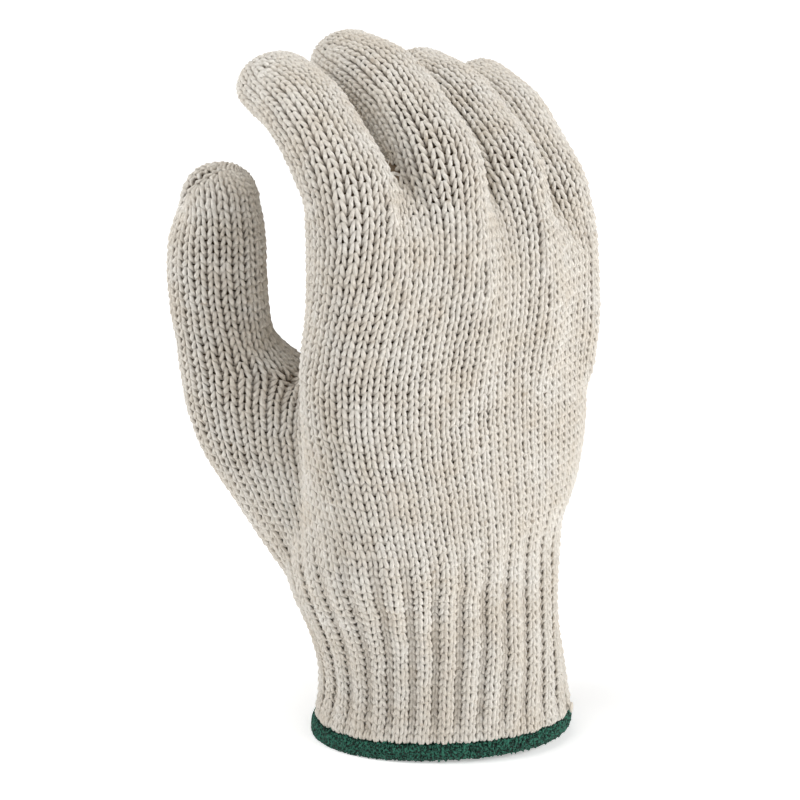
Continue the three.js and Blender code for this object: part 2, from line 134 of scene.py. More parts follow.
# Heights of the crotches, and how far round the cuff its wales are turned against the hand
THUMB_CROTCH_Z = 116.0
FINGER_CROTCHES = {"middle": 176.0, "ring": 167.0, "little": 152.0}
CUFF_SHIFT = 0.07
# Place of the thumb round the ring at its crotch, and half the width there of its wales and web
THUMB_PLACE, THUMB_HALF, WEB_HALF = 0.367, 0.010, 0.012
# Crease in the web of the thumb, on the palm's side of the crotch
THUMB_CREASE = (-43, 19, 119), (-50, 22, 112)
CREASE_DEPTH, CREASE_WIDTH = 2.0, 2.4
# Reach of the rounding where shapes meet: at the hand's top, between the fingers and how much
# more in their webs, from the fingers to the hand, at the thumb and how much more in its web
TOP_REACH, FINGER_REACH, FINGER_WEB, ROOT_REACH, THUMB_JOIN, THUMB_WEB = 3.0, 1.2, 9, 5.0, 2.0, 7.0
# How far the middle of the yarn lies inside the glove's outside, and how much stitches waver
YARN_INSET, WAVER = 0.84, 0.24
# Unevenness of the yarn: of its line in millimetres and of its radius as a share
YARN_STRAY, YARN_UNEVEN = 0.03, 0.07
# Widest radius of the yarn against the width of its wale
YARN_SHARE = 0.258
# Turns for the points of a closed ring
AROUND = np.linspace(0, 2 * math.pi, 720, endpoint=False)
# Ground behind the yarn: its thickness, and its depth below the middle of the hand's and the
# cuff's yarn. Gaps in the hand's ground with up to so many sides are closed.
GROUND_WALL, HAND_GROUND, CUFF_GROUND, WEB_SIDES = 0.9, 0.55, 0.9, 18
# Hem: the coils wound round its edge (wraps, way, lean, radius), the loops of a chain, the cut
# ends of the cuff's yarn, the steps round that an end's lean is given in, and where the knot is
HEM_COILS = (150, 1, 1.1, 0.33), (134, -1, 0.7, 0.31), (116, 1, -0.9, 0.30)
CHAIN_LOOPS, CUT_ENDS, LEAN_STEPS = 150, 186, 206
KNOT_PLACE = 0.873, 0.878

# Floor and camera, at the photo's angle, in metres
FLOOR_SIZE, FLOOR_Z = 14, -0.001
VIEW_TARGET = Vector((-9.2, 7.7, 102)) * MM
CAMERA_AZIMUTH, CAMERA_ELEVATION = -40 * DEGREE, 20 * DEGREE
CAMERA_DISTANCE, SENSOR_WIDTH, HALF_VIEW = 0.931, 36, 7 * DEGREE
# Lights: name, size, watts, then how far to the camera's right, to the camera and up
WORLD_STRENGTH = 0.21
LIGHTS = (
    ("right_light", 0.6, 9.7, 1.0, 0.42, 0.42),
    ("left_light", 0.7, 4.5, -0.95, 0.05, 0.6),
    ("top_light", 0.7, 5.4, -0.3, 0.12, 1.0),
)


class KnitSizes(bpy.types.PropertyGroup):
    """Sizes of the yarn and of its stitches"""

    course: FloatProperty(
        name="Course", description="Height of one row of stitches", default=2.3 * MM,
        min=1.5 * MM, max=4 * MM, unit="LENGTH")
    yarn_radius: FloatProperty(
        name="Yarn radius", description="Radius of the cotton yarn", default=0.64 * MM,
        min=0.3 * MM, max=1.5 * MM, unit="LENGTH")
    loop_height: FloatProperty(
        name="Loop height", description="Height of a loop in courses", default=1.76,
        min=1.0, max=2.0)
    loop_slant: FloatProperty(
        name="Loop slant", description="How far a loop's legs lean", default=0.265,
        min=0.08, max=0.35)
    loop_depth: FloatProperty(
        name="Loop depth", description="How far the legs stand in front of the heads",
        default=0.66 * MM, min=0.0, max=1.0 * MM, unit="LENGTH")
    rib_relief: FloatProperty(
        name="Rib relief", description="Depth of the grooves between the cuff's ribs",
        default=1.55 * MM, min=0.0, max=3.0 * MM, unit="LENGTH")
    spread_passes: IntProperty(
        name="Spread passes", description="How often the stitches are spread evenly",
        default=160, min=0, max=1000)


class KnitColours(bpy.types.PropertyGroup):
    """Colours of the cotton and of the hem's thread"""

    cotton: FloatVectorProperty(
        name="Cotton", description="Natural cotton yarn", subtype="COLOR", size=3,
        default=(0.89, 0.85, 0.78), min=0, max=1)
    cotton_warm: FloatVectorProperty(
        name="Warm cotton", description="The warmer parts of the cotton", subtype="COLOR",
        size=3, default=(0.80, 0.73, 0.63), min=0, max=1)
    # Painted shade: the shadowed colour shown between the stitches, on the ground and deep in the
    # yarn
    gap: FloatVectorProperty(
        name="Gap", description="What shows between the stitches", subtype="COLOR", size=3,
        default=(0.21, 0.153, 0.100), min=0, max=1)
    thread: FloatVectorProperty(
        name="Overlock thread", description="The hem's green thread", subtype="COLOR", size=3,
        default=(0.018, 0.098, 0.066), min=0, max=1)
    backdrop: FloatVectorProperty(
        name="Backdrop", description="Floor and surroundings", subtype="COLOR", size=3,
        default=(0.93, 0.93, 0.93), min=0, max=1)


# The glove's surface

def table_at(rows, column, place):
    """Smooth value of one column of a table at places along its first column."""
    x, y = rows[:, 0], rows[:, column]
    last = len(x) - 1
    i = np.searchsorted(x[1:last], place)
    before, after = np.maximum(i - 1, 0), np.minimum(i + 2, last)
    span = x[i + 1] - x[i]
    t = np.clip((place - x[i]) / span, 0, 1)
    m0 = (y[i + 1] - y[before]) / (x[i + 1] - x[before]) * span
    m1 = (y[after] - y[i]) / (x[after] - x[i]) * span
    p0, p1 = y[i], y[i + 1]
    return p0 + t * (m0 + t * (3 * (p1 - p0) - 2 * m0 - m1 + t * (2 * (p0 - p1) + m0 + m1)))


TRUNK = np.vstack([
    CUFF_RINGS * [CUFF_HEIGHT, CUFF_BREADTH, CUFF_DEPTH, CUFF_BREADTH, CUFF_DEPTH, 1, DEGREE],
    HAND_RINGS * [HAND_HEIGHT, HAND_BREADTH, HAND_DEPTH, HAND_BREADTH, HAND_DEPTH, 1, DEGREE]
    + [CUFF_HEIGHT, 0, 0, 0, 0, 0, 0]])
THUMB = np.vstack([
    THUMB_BASE_RINGS * [THUMB_ROOT_Z - CUFF_HEIGHT, THUMB_REACH, THUMB_REACH, THUMB_BREADTH]
    + [CUFF_HEIGHT, 0, 0, 0],
    THUMB_STALL_RINGS * [THUMB_LENGTH, THUMB_REACH, THUMB_REACH, THUMB_BREADTH]
    + [THUMB_ROOT_Z, 0, 0, 0]])
TRUNK_TOP, THUMB_DOME = TRUNK[-1, 0], THUMB[-1, 0]
THUMB_TOP = THUMB_ROOT_Z + THUMB_LENGTH


def power(value, roundness):
    return np.sign(value) * np.abs(value) ** (2 / roundness)


def unit(vectors):
    """Vectors made 1 long."""
    return vectors / np.maximum(np.linalg.norm(vectors, axis=1), 1e-6)[:, None]


def trunk_point(z, turn, inset=0.0):
    """A point of the hand's or cuff's ring, at a height and a turn from the little finger."""
    z, turn = np.broadcast_arrays(np.asarray(z, float), np.asarray(turn, float))
    breadth, depth, cx, cy, fall, ring_turn = (table_at(TRUNK, k, z) for k in range(1, 7))
    c, s = np.cos(ring_turn), np.sin(ring_turn)
    across = power(np.cos(turn - ring_turn), HAND_ROUNDNESS) * (breadth / 2 - inset)
    deep = power(np.sin(turn - ring_turn), HAND_ROUNDNESS) * (depth / 2 - inset)
    dx, dy = across * c - deep * s, across * s + deep * c
    rise = (dx * THUMB_OUT[0] + dy * THUMB_OUT[1]) * fall
    return np.stack([cx + dx, cy + dy, z + rise], -1)


def thumb_point(z, turn):
    """A point of the thumb's ring, at a height and a turn from its outer edge."""
    z, turn = np.broadcast_arrays(np.asarray(z, float), np.asarray(turn, float))
    inner, outer, thick = (table_at(THUMB, k, z) for k in (1, 2, 3))
    out = (inner + outer) / 2 + power(np.cos(turn), STALL_ROUNDNESS) * (outer - inner) / 2
    side = power(np.sin(turn), STALL_ROUNDNESS) * thick / 2
    spot = out[..., None] * THUMB_OUT + side[..., None] * THUMB_SIDE
    spot[..., 2] = z
    return spot


class Finger:
    """A finger's middle line with its frames and girths, as in the CAD part."""

    STEPS = 120

    def __init__(self, index):
        name, _, length, knuckle, to_palm, lean, bends, self.flat = FINGERS[index]
        breadths = [row[1] * FINGER_BREADTH for row in FINGERS]
        total = sum(breadths) + FINGER_GAP * (len(FINGERS) - 1)
        before = sum(b + FINGER_GAP for b in breadths[:index])
        self.name, self.breadth, self.length = name, breadths[index], length * FINGER_LENGTH
        spot = np.array([
            KNUCKLES_ACROSS - total / 2 + before + self.breadth / 2,
            KNUCKLES_TO_PALM + to_palm * FINGER_LENGTH,
            KNUCKLE_Z + knuckle * FINGER_LENGTH - FINGER_START * self.length])
        lean *= DEGREE
        shares = np.arange(-round(FINGER_START * self.STEPS), self.STEPS + 1) / self.STEPS
        cross = np.array([math.cos(lean), 0, -math.sin(lean)])
        line = []
        for share in shares:
            bend = 0.0
            for angle, place in zip(bends, JOINT_PLACES):
                t = min(max((share - place) / JOINT_SPREAD + 0.5, 0), 1)
                bend += angle * DEGREE * t * t * (3 - 2 * t)
            way = np.array([math.sin(lean) * math.cos(bend), math.sin(bend),
                            math.cos(lean) * math.cos(bend)])
            line.append((spot, way, cross, np.cross(way, cross)))
            spot = spot + way * self.length / self.STEPS
        self.shares = shares
        self.spots, self.ways, self.across, self.deep = np.array(line).swapaxes(0, 1)
        self.tip_start = 1 - self.girth(np.array([1.0]), 2)[0] / self.length

    def girth(self, share, column):
        return table_at(FINGER_GIRTHS, column, share) * self.breadth / 2

    def depth(self, share, to_pad):
        back, pad = self.girth(share, 2), self.girth(share, 3)
        return np.where(to_pad, back + (pad - back) * self.flat, back)

    def at(self, values, share):
        """One of the line's lists at shares between its steps."""
        place = (np.asarray(share, float) + FINGER_START) * self.STEPS
        i = np.clip(np.floor(place).astype(int), 0, len(values) - 2)
        f = np.clip(place - i, 0, 1)[..., None]
        return values[i] * (1 - f) + values[i + 1] * f

    def point(self, share, turn):
        share, turn = np.broadcast_arrays(np.asarray(share, float), np.asarray(turn, float))
        across = power(np.cos(turn), STALL_ROUNDNESS) * self.girth(share, 1)
        deep = power(np.sin(turn), STALL_ROUNDNESS) * self.depth(share, np.sin(turn) > 0)
        return (self.at(self.spots, share) + self.at(self.across, share) * across[..., None]
                + self.at(self.deep, share) * deep[..., None])

    def share_at_height(self, z):
        return float(np.interp(z, self.spots[:, 2], self.shares))


STALLS = [Finger(i) for i in range(len(FINGERS))]


def smooth_least(a, b, reach):
    """The lesser of two distances, rounded over where they are within the reach of each other."""
    h = np.maximum(reach - np.abs(a - b), 0) / reach
    return np.minimum(a, b) - h * h * reach / 4


def oval_measure(a, b, roundness):
    """1 on an oval with half breadths of 1, and less inside it."""
    return (np.abs(a) ** roundness + np.abs(b) ** roundness) ** (1 / roundness)


def ended(ring, rise, sink):
    """A tube's measure, rounded off past its tip and its root."""
    return (ring ** 2.5 + np.clip(rise, 0, 3) ** 2 + np.clip(sink, 0, 3) ** 2) ** 0.4


class Surface:
    """Signed distance to the glove's outside on a grid, with its slope."""

    LOW, HIGH, PITCH = np.array([-66.0, -42.0, -10.0]), np.array([60.0, 66.0, 216.0]), 1.5

    def __init__(self, inset):
        counts = np.ceil((self.HIGH - self.LOW) / self.PITCH).astype(int) + 1
        axes = [self.LOW[k] + self.PITCH * np.arange(counts[k]) for k in range(3)]
        x, y, z = np.meshgrid(*axes, indexing="ij")
        trunk = self.distance(self.trunk(x, y, z))
        top = z - TRUNK_TOP - (x * THUMB_OUT[0] + y * THUMB_OUT[1] + 3) * 0.27
        trunk = -smooth_least(-trunk, -top, TOP_REACH)
        thumb = self.distance(self.thumb(x, y, z))
        fingers = self.distance(self.finger(STALLS[0], x, y, z))
        for stall in STALLS[1:]:
            web = np.clip((FINGER_CROTCHES[stall.name] - z) / 8, 0, 1)
            fingers = smooth_least(fingers, self.distance(self.finger(stall, x, y, z)),
                                   FINGER_REACH + FINGER_WEB * web)
        hand = smooth_least(trunk, fingers, ROOT_REACH)
        web = np.clip((z - THUMB_CROTCH_Z + 22) / 16, 0, 1)
        values = smooth_least(hand, thumb, THUMB_JOIN + THUMB_WEB * web) + inset
        self.grid = np.stack([values, *np.gradient(values, self.PITCH)], -1).astype(np.float32)

    def distance(self, measure):
        """A distance from a measure that is 1 on the surface, by its slope."""
        slope = np.sqrt(sum(g * g for g in np.gradient(measure, self.PITCH)))
        return (measure - 1) / np.maximum(slope, 0.012)

    def trunk(self, x, y, z):
        level = z
        for _ in range(4):
            cx, cy, fall = (table_at(TRUNK, k, level) for k in (3, 4, 5))
            level = z - fall * ((x - cx) * THUMB_OUT[0] + (y - cy) * THUMB_OUT[1])
        breadth, depth, cx, cy, fall, turn = (table_at(TRUNK, k, level) for k in range(1, 7))
        c, s = np.cos(turn), np.sin(turn)
        across, deep = (x - cx) * c + (y - cy) * s, (y - cy) * c - (x - cx) * s
        return oval_measure(across / (breadth / 2), deep / (depth / 2), HAND_ROUNDNESS)

    def thumb(self, x, y, z):
        out = x * THUMB_OUT[0] + y * THUMB_OUT[1]
        side = x * THUMB_SIDE[0] + y * THUMB_SIDE[1]
        inner, outer, thick = (table_at(THUMB, k, z) for k in (1, 2, 3))
        out = (out - (inner + outer) / 2) / ((outer - inner) / 2)
        return ended(oval_measure(out, side / (thick / 2), STALL_ROUNDNESS),
                     (z - THUMB_DOME) / (THUMB_TOP - THUMB_DOME), (THUMB[0, 0] - z) / 12)

    def finger(self, stall, x, y, z):
        every = slice(0, None, 2)
        spots, reach, batch = stall.spots[every], 24, 40000
        low, high = spots.min(0) - reach, spots.max(0) + reach
        near = ((x > low[0]) & (x < high[0]) & (y > low[1]) & (y < high[1])
                & (z > low[2]) & (z < high[2]))
        p = np.stack([x[near], y[near], z[near]], -1)
        nearest = np.concatenate([
            ((spots * spots).sum(1) - 2 * p[start:start + batch] @ spots.T).argmin(1)
            for start in range(0, len(p), batch)])
        offset = p - spots[nearest]
        along, across, deep = ((offset * ways[every][nearest]).sum(1)
                               for ways in (stall.ways, stall.across, stall.deep))
        share = stall.shares[every][nearest] + along / stall.length
        ring = oval_measure(across / stall.girth(share, 1), deep / stall.depth(share, deep > 0),
                            STALL_ROUNDNESS)
        result = np.full(x.shape, 3.0)
        result[near] = ended(ring, (share - stall.tip_start) / (1 - stall.tip_start),
                             (-FINGER_START + 0.06 - share) / 0.08)
        return np.minimum(result, 3.0)

    def at(self, p):
        """Distance and slope at points, between the grid's."""
        place = np.clip((p - self.LOW) / self.PITCH, 0, np.array(self.grid.shape[:3]) - 1.001)
        i = place.astype(int)
        f = place - i
        total = 0
        for corner in range(8):
            step = np.array([corner & 1, corner >> 1 & 1, corner >> 2 & 1])
            weight = np.prod(np.where(step, f, 1 - f), axis=1)[:, None]
            j = i + step
            total = total + weight * self.grid[j[:, 0], j[:, 1], j[:, 2]]
        return total[:, 0], total[:, 1:]

    def onto(self, p, passes=3):
        """Points moved onto the surface."""
        for _ in range(passes):
            distance, slope = self.at(p)
            size = np.maximum((slope * slope).sum(1), 0.05)
            move = np.clip(distance / size, -3, 3)
            p = p - slope * move[:, None]
        return p

    def outwards(self, p):
        return unit(self.at(p)[1])


# The stitches

def spaced(start, end, count):
    """Middles of equal steps from the start to the end."""
    return start + (np.arange(count) + 0.5) / count * (end - start)


def ring_by_length(points, shares):
    """Places at shares of the length of a closed ring of points."""
    ring = np.vstack([points, points[:1]])
    length = np.concatenate([[0], np.cumsum(np.linalg.norm(np.diff(ring, axis=0), axis=1))])
    wanted = (np.asarray(shares) % 1) * length[-1]
    return np.stack([np.interp(wanted, length, ring[:, k]) for k in range(3)], -1)


class Net:
    """Every stitch's place, with its neighbours towards the tips, the cuff and both sides."""

    def __init__(self, course):
        self.course = course
        self.courses, self.places = [], []
        self.up, self.down, self.mates = {}, {}, {}
        self.total = 0
        self.palm_wales = sum(sides for sides, *_ in WALES.values())
        self.all_wales = 2 * self.palm_wales - WEB_WALES + THUMB_WALES
        self.cast_on()

    def add(self, region, points):
        """A closed course of stitches."""
        first = self.total
        self.total += len(points)
        self.places.append(points)
        nodes = np.arange(first, self.total)
        self.courses.append((region, nodes))
        return nodes

    def link(self, lower, upper):
        for a, b in zip(lower, upper):
            if a >= 0:
                self.up[a], self.down[b] = b, a

    def meet(self, one, other):
        """Joins the first stitches of two webs that face each other."""
        most = max(len(one), len(other))
        for k in range(most):
            a, b = one[k * len(one) // most], other[k * len(other) // most]
            self.down[a], self.down[b] = b, a

    def knit(self, region, below, count, place):
        """Knits courses on to the one below, and gives the first of them and the last."""
        for j in range(count):
            nodes = self.add(region, place(j))
            self.link(below, nodes)
            if j == 0:
                first = nodes
            below = nodes
        return first, below

    def cast_on(self):
        """The cuff and the heel up to the thumb's crotch, then all that stands on them."""
        before, thumb_count, wales = WALES_BEFORE_THUMB, THUMB_WALES, self.all_wales
        stretch = slice(before, before + thumb_count)
        start_z = CUFF_HEIGHT - 6
        self.cuff_courses = round((CUFF_HEIGHT - HEM_HEIGHT) / self.course / RIB_COURSE)
        heel_courses = round((THUMB_CROTCH_Z - CUFF_HEIGHT) / self.course)
        heights = np.concatenate([
            np.linspace(HEM_HEIGHT + 0.8, CUFF_HEIGHT, self.cuff_courses, endpoint=False),
            np.linspace(CUFF_HEIGHT, THUMB_CROTCH_Z - 0.6 * self.course, heel_courses)])

        def place(j):
            z = heights[j]
            t = min(max((z - start_z) / (THUMB_CROTCH_Z - start_z), 0), 1)
            start = before / wales * (1 - t) + (THUMB_PLACE - THUMB_HALF) * t
            end = (before + thumb_count) / wales * (1 - t) + (THUMB_PLACE + THUMB_HALF) * t
            shares = np.concatenate([
                spaced(0, start, before), spaced(start, end, thumb_count),
                spaced(end, 1, wales - before - thumb_count)])
            points = ring_by_length(trunk_point(z, AROUND),
                                    shares - CUFF_SHIFT * (1 - z / THUMB_CROTCH_Z))
            reach = (62 + 28 * t + 85 * t ** 6) * DEGREE
            lobe = thumb_point(z, spaced(-reach, reach, thumb_count))
            points[stretch] += (lobe - points[stretch]) * min(max((t - 0.05) / 0.4, 0), 1)
            return points

        below = self.knit("cuff", np.full(wales, -1), self.cuff_courses, place)[1]
        below = self.knit("heel", below, heel_courses, lambda j: place(j + self.cuff_courses))[1]
        self.knit_thumb(below[stretch])
        self.knit_palm(below[:before], below[before + thumb_count:])

    def knit_thumb(self, base):
        half = WEB_WALES // 2
        turn = spaced(-math.pi, math.pi, THUMB_WALES + WEB_WALES)
        below = np.full(len(turn), -1)
        below[half:half + THUMB_WALES] = base
        rise = THUMB_DOME - THUMB_CROTCH_Z
        count = round(rise / self.course)
        first, last = self.knit("thumb", below, count, lambda j: thumb_point(
            THUMB_CROTCH_Z + rise * (j + 0.6) / count, turn))
        self.thumb_web = np.concatenate([first[:half][::-1], first[-half:][::-1]])
        self.thumb_sides = first[half], first[-half - 1]
        middle = thumb_point(THUMB_DOME, np.array([0, math.pi])).mean(0)
        self.close_tip("thumb", last, thumb_point(THUMB_DOME, turn), middle, THUMB_OUT,
                       THUMB_SIDE, np.array([0, 0, 1.0]), THUMB_TOP - THUMB_DOME, True)

    def close_tip(self, region, below, top, middle, across, deep, up, height, one_side):
        """The rounded tip: its courses lose a wale at a time, on one side or on both in turn,
        and then its front and back are joined."""
        offset = top - middle
        x, y = offset @ across, offset @ deep
        half_x, half_y = np.abs(x).max(), np.abs(y).max()
        order = np.argsort(x)
        sides = [[below[i] for i in order if way * y[i] > 0] for way in (-1, 1)]
        count = max(round((half_y + height) * 0.78 / self.course), 3)
        for j in range(count):
            turn_up = (j + 0.75) / (count + 0.25) * math.pi / 2
            q = math.sin(turn_up)
            rows, lost = [], []
            for way, side in zip((-1, 1), sides):
                lost.append(len(side) > 5)
                keep = len(side) - lost[-1]
                place = (np.arange(keep) + 0.5) / keep * 2 - 1
                fall = way * half_y * math.cos(turn_up) * np.sqrt(1 - 0.85 * place ** 2)
                rise = height * q * np.sqrt(1 - 0.5 * place ** 2)
                rows.append(middle + (place * half_x * (1 - 0.42 * q * q))[:, None] * across
                            + fall[:, None] * deep + rise[:, None] * up)
            nodes = self.add(region, np.vstack([rows[0], rows[1][::-1]]))
            uppers = nodes[:len(rows[0])], nodes[len(rows[0]):][::-1]
            for side, upper, loses in zip(sides, uppers, lost):
                drop = len(side) - 3 if one_side or j % 2 else 2
                for i, node in enumerate(side):
                    above = upper[i - 1 if loses and i > drop else i]
                    self.up[node] = above
                    self.down.setdefault(above, node)
            sides = uppers
        for a, b in zip(*sides):
            self.up[a], self.up[b] = b, a

    def finger_turns(self, name):
        """Turns of a finger's wales: first the palm side's, then the back's, then the others."""
        per_side, between_next, between_last = WALES[name]
        total = 2 * per_side + between_next + between_last
        step = 2 * math.pi / total
        palm = (np.arange(per_side) + between_next / 2 + 0.5) * step
        back = palm[-1] + (np.arange(per_side) + between_last + 1) * step
        sides = [palm[-1] + (k + 1) * step for k in range(between_last)]
        sides += [back[-1] + (k + 1) * step for k in range(between_next)]
        return palm, back, np.array(sides)

    def tube_at(self, names, heights):
        """Places round the fingers at their heights: the palm sides, then the backs in turn."""
        palms, backs = [], []
        for stall in STALLS[::-1]:
            if stall.name in names:
                share = stall.share_at_height(heights[stall.name])
                palm, back, _ = self.finger_turns(stall.name)
                palms.append(stall.point(share, palm))
                backs.insert(0, stall.point(share, back))
        return np.vstack(palms + backs)

    def knit_between(self, below, bottom, top, height):
        """Courses of the palm from one ring of places up to another."""
        count = round(height / self.course)
        return self.knit("palm", below, count,
                         lambda j: bottom + (top - bottom) * (j + 0.5) / count)

    def knit_palm(self, before, after):
        """All the wales up to the little finger, then the others up to their own crotches."""
        little_wales = WALES["little"][0]
        split_z = FINGER_CROTCHES["little"] - 2
        heights = dict(index=FINGER_CROTCHES["middle"] - 4, middle=FINGER_CROTCHES["middle"] - 5,
                       ring=FINGER_CROTCHES["ring"] - 3, little=split_z)
        level = dict.fromkeys(WALES, split_z)
        web_start, web_stop = THUMB_PLACE - WEB_HALF, THUMB_PLACE + WEB_HALF
        web_end = len(before) + WEB_WALES
        shares = np.concatenate([
            spaced(0, web_start, len(before)), spaced(web_start, web_stop, WEB_WALES),
            spaced(web_stop, 1, len(after))])
        first, below = self.knit_between(
            np.concatenate([before, np.full(WEB_WALES, -1), after]),
            ring_by_length(trunk_point(THUMB_CROTCH_Z + 1.5, AROUND), shares),
            self.tube_at(WALES, level), split_z - THUMB_CROTCH_Z)
        self.meet(first[len(before):web_end], self.thumb_web)
        for one, other in zip(self.thumb_sides, (first[len(before) - 1], first[web_end])):
            self.mates[one], self.mates[other] = other, one
        little_below = below[:little_wales], below[-little_wales:]
        ring_stall = STALLS[2]
        side_turn = self.finger_turns("ring")[2][-1]

        def three(heights):
            share = ring_stall.share_at_height(heights["ring"])
            return np.vstack([self.tube_at(("index", "middle", "ring"), heights),
                              ring_stall.point(share, side_turn)])

        first, below = self.knit_between(
            np.append(below[little_wales:-little_wales], -1), three(level), three(heights),
            FINGER_CROTCHES["ring"] - split_z)
        palms = {"little": little_below[0]}
        backs = {"little": little_below[1]}
        at, end = 0, len(below) - 1
        for name in ("ring", "middle", "index"):
            wales = WALES[name][0]
            palms[name], backs[name] = below[at:at + wales], below[end - wales:end]
            at, end = at + wales, end - wales
        webs = {}
        for stall in STALLS:
            name = stall.name
            next_below = below[-1:] if name == "ring" else None
            share = stall.share_at_height(heights[name])
            webs[name] = self.knit_finger(stall, palms[name], backs[name], next_below, share)
        self.meet(webs["index"][0], webs["middle"][1])
        self.meet(webs["middle"][0], webs["ring"][1])
        self.meet(first[-1:], webs["little"][1])

    def knit_finger(self, stall, palm_below, back_below, next_below, share):
        """Gives the first stitches on the next finger's side and on the last one's."""
        palm, back, sides = self.finger_turns(stall.name)
        last = WALES[stall.name][2]
        turn = np.concatenate([palm, sides[:last], back, sides[last:]])
        back_start = len(palm) + last
        back_end = back_start + len(back)
        below = np.full(len(turn), -1)
        below[:len(palm)] = palm_below
        below[back_start:back_end] = back_below
        if next_below is not None:
            below[back_end:] = next_below
        start = stall.tip_start
        count = round((start - share) * stall.length / self.course)
        first, below = self.knit(stall.name, below, count, lambda j: stall.point(
            share + (start - share) * (j + 0.6) / count, turn))
        middle, across, deep, way = (
            stall.at(values, np.array([start]))[0]
            for values in (stall.spots, stall.across, stall.deep, stall.ways))
        self.close_tip(stall.name, below, stall.point(start, turn), middle, across, deep, way,
                       (1 - start) * stall.length, False)
        return first[back_end:], first[len(palm):back_start]

    def spread(self, surface, passes):
        """Spreads the stitches evenly and leaves the hem's course where it is."""
        p = surface.onto(np.vstack(self.places), 6)
        count = len(p)
        left, right = np.arange(count), np.arange(count)
        for _, nodes in self.courses:
            left[nodes], right[nodes] = np.roll(nodes, 1), np.roll(nodes, -1)
        up, down, mate = (np.array([links.get(i, -1) for i in range(count)])
                          for links in (self.up, self.down, self.mates))
        has_up, has_down, has_mate = ((other >= 0)[:, None] for other in (up, down, mate))
        fixed = self.courses[0][1]
        links = 2.0 + has_up + has_down + has_mate
        for _ in range(passes):
            course = unit(p[right] - p[left])
            aside = p[left] + p[right] - 2 * p
            aside = aside * 0.12 + (aside * course).sum(1)[:, None] * course * 0.88
            pull = (aside + np.where(has_up, p[up] - p, 0) + np.where(has_down, p[down] - p, 0)
                    + np.where(has_mate, p[mate] - p, 0)) / links
            moved = p + pull * 0.7
            moved[fixed] = p[fixed]
            p = surface.onto(moved, 1)
        waver = np.random.default_rng(5).normal(0, WAVER, p.shape)
        waver = waver * 0.45 + (waver[left] + waver[right]) * 0.3
        waver[fixed] *= 0.3
        p = surface.onto(p + waver, 3)
        start, end = (np.array(spot) for spot in THUMB_CREASE)
        along = np.clip((p - start) @ (end - start) / ((end - start) @ (end - start)), 0, 1)
        away = np.linalg.norm(p - start - along[:, None] * (end - start), axis=1)
        sink = CREASE_DEPTH * np.exp(-(away / CREASE_WIDTH) ** 2)
        p -= surface.outwards(p) * sink[:, None]
        self.p, self.left, self.right, self.above = p, left, right, up
        self.out = surface.outwards(p)
        tip, cuff = np.where(has_up, p[up], p), np.where(has_down, p[down], p)
        self.tipwards = np.where(has_up, tip, p + (p - cuff))
        self.cuffwards = np.where(has_down, cuff, p - (self.tipwards - p))
        self.width = np.linalg.norm(p[right] - p[left], axis=1) / 2


_knitted = {}


def knitted():
    """The net of stitches, worked out once."""
    if not _knitted:
        sizes = bpy.context.scene.knit_sizes
        surface = Surface(YARN_INSET)
        net = Net(sizes.course / MM)
        net.spread(surface, sizes.spread_passes)
        _knitted["surface"], _knitted["net"] = surface, net
    return _knitted["net"]


def sampled(values, place, linear=False):
    """A closed course's values at places between its stitches."""
    i = np.floor(place).astype(int)
    f = (place - i)[:, None] if values.ndim > 1 else place - i
    n = len(values)
    b, c = values[i % n], values[(i + 1) % n]
    if linear:
        return b + (c - b) * f
    a, d = values[(i - 1) % n], values[(i + 2) % n]
    return b + 0.5 * f * (c - a + f * (2 * a - 5 * b + 4 * c - d + f * (3 * (b - c) + d - a)))


def yarn_path(net, nodes, relief, sizes, points=8):
    """The line of the yarn through one closed course, with its radius at each point."""
    count = len(nodes)
    t = np.tile(np.arange(points) / points, count)
    stitch = np.repeat(np.arange(count), points)
    rng = np.random.default_rng(int(nodes[0]))
    uneven = sampled(rng.normal(0, 1, (count, 3)), stitch + t - 0.5, True)
    slant = sizes.loop_slant * (1 + 0.09 * uneven[:, 0])
    place = stitch + (t - 0.5) + slant * np.sin(4 * math.pi * t)
    rise = sizes.loop_height / 2 * np.cos(2 * math.pi * t) * (1 + 0.05 * uneven[:, 1])
    middle = sampled(net.p[nodes], place)
    tip = sampled(net.tipwards[nodes], place, True)
    cuff = sampled(net.cuffwards[nodes], place, True)
    out = unit(sampled(net.out[nodes], place, True))
    swing = (-np.cos(4 * math.pi * t) + 0.55 * np.cos(2 * math.pi * t)
             - 0.3 * np.cos(6 * math.pi * t))
    depth = swing * sizes.loop_depth / MM + sampled(relief, place)
    path = (middle + np.maximum(rise, 0)[:, None] * (tip - middle)
            + np.minimum(rise, 0)[:, None] * (middle - cuff) + depth[:, None] * out)
    width = sampled(net.width[nodes], place, True)
    plump = (1 - 0.10 * np.cos(4 * math.pi * t)) * (1 + 0.07 * uneven[:, 2])
    radius = np.minimum(sizes.yarn_radius / MM, YARN_SHARE * width) * plump
    return path, radius


def yarn_piece(name, net, courses, relief_of, seed, deepest_shade):
    """A joined mesh of the yarns of several courses."""
    rng = np.random.default_rng(seed)
    sizes = bpy.context.scene.knit_sizes
    strands = []
    for number, nodes in courses:
        path, radius = yarn_path(net, nodes, relief_of(number, nodes), sizes)
        wobble = rng.normal(0, 1, len(path))
        wobble = (wobble + np.roll(wobble, 1) + np.roll(wobble, -1)) / 3
        strands.append((path + rng.normal(0, YARN_STRAY, path.shape),
                        radius * (1 + YARN_UNEVEN * wobble)))
    piece = strand_piece(name, strands, True)
    mark_sunk_shade(piece, deepest_shade)
    return piece


